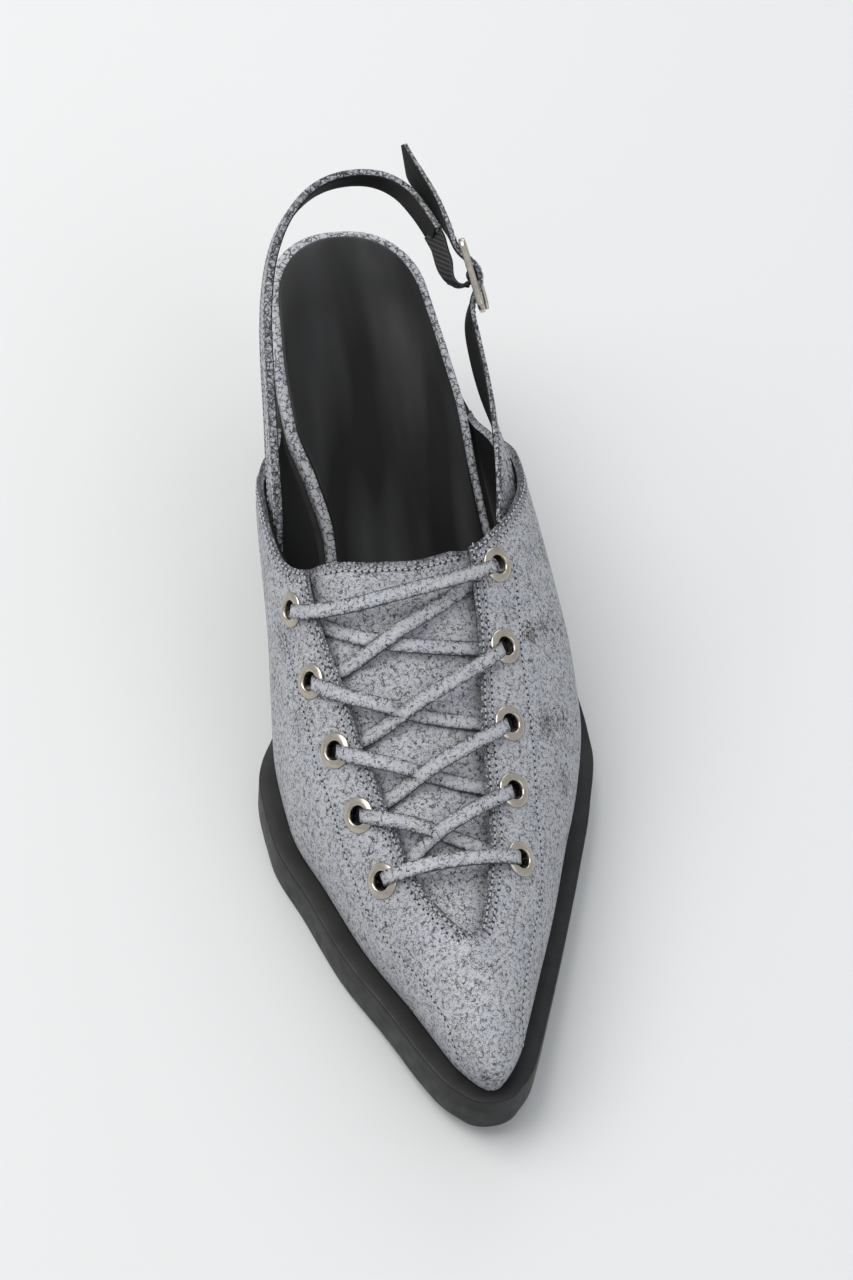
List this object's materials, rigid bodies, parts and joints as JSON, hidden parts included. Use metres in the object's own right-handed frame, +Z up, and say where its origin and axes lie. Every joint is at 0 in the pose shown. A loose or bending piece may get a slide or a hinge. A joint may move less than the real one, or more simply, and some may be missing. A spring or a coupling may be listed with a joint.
{
  "type": "lace up heel",
  "caption": "Pointed lace-up slingback heel: crackled leather vamp with eyelets and flat lace, black sole and block heel, heel strap with elastic and small buckle.",
  "frame": {"origin": "flat tread under the ball of the foot, on the floor", "axes": "+Z up, -Y towards the toe, +X towards the outer (lateral) side"},
  "size_m": [0.0944, 0.2622, 0.1126],
  "materials": {
    "crackle_leather": "crackled pale lilac grey",
    "sock_leather": "smooth black, soft sheen",
    "sole_black": "satin black",
    "heel_black": "satin black",
    "top_piece_rubber": "matte black",
    "elastic_black": "ribbed",
    "nickel": "satin pale nickel"
  },
  "bodies": {
    "root": {"outsole": "sole_black", "heel_block": "heel_black", "heel_top_piece": "top_piece_rubber", "insole_board": "crackle_leather", "sock_lining": "sock_leather", "upper": "crackle_leather", "tongue": "crackle_leather", "heel_strap": "crackle_leather", "strap_elastic": "elastic_black", "buckle_strap": "crackle_leather", "buckle_frame": "nickel", "buckle_prong": "nickel", "eyelet_medial_1": "nickel", "eyelet_medial_2": "nickel", "eyelet_medial_3": "nickel", "eyelet_medial_4": "nickel", "eyelet_medial_5": "nickel", "eyelet_lateral_1": "nickel", "eyelet_lateral_2": "nickel", "eyelet_lateral_3": "nickel", "eyelet_lateral_4": "nickel", "eyelet_lateral_5": "nickel", "lace_bar_top": "crackle_leather", "lace_cross_1": "crackle_leather", "lace_cross_2": "crackle_leather", "lace_cross_3": "crackle_leather", "lace_cross_4": "crackle_leather", "lace_bar_bottom": "crackle_leather"}
  },
  "joints": []
}
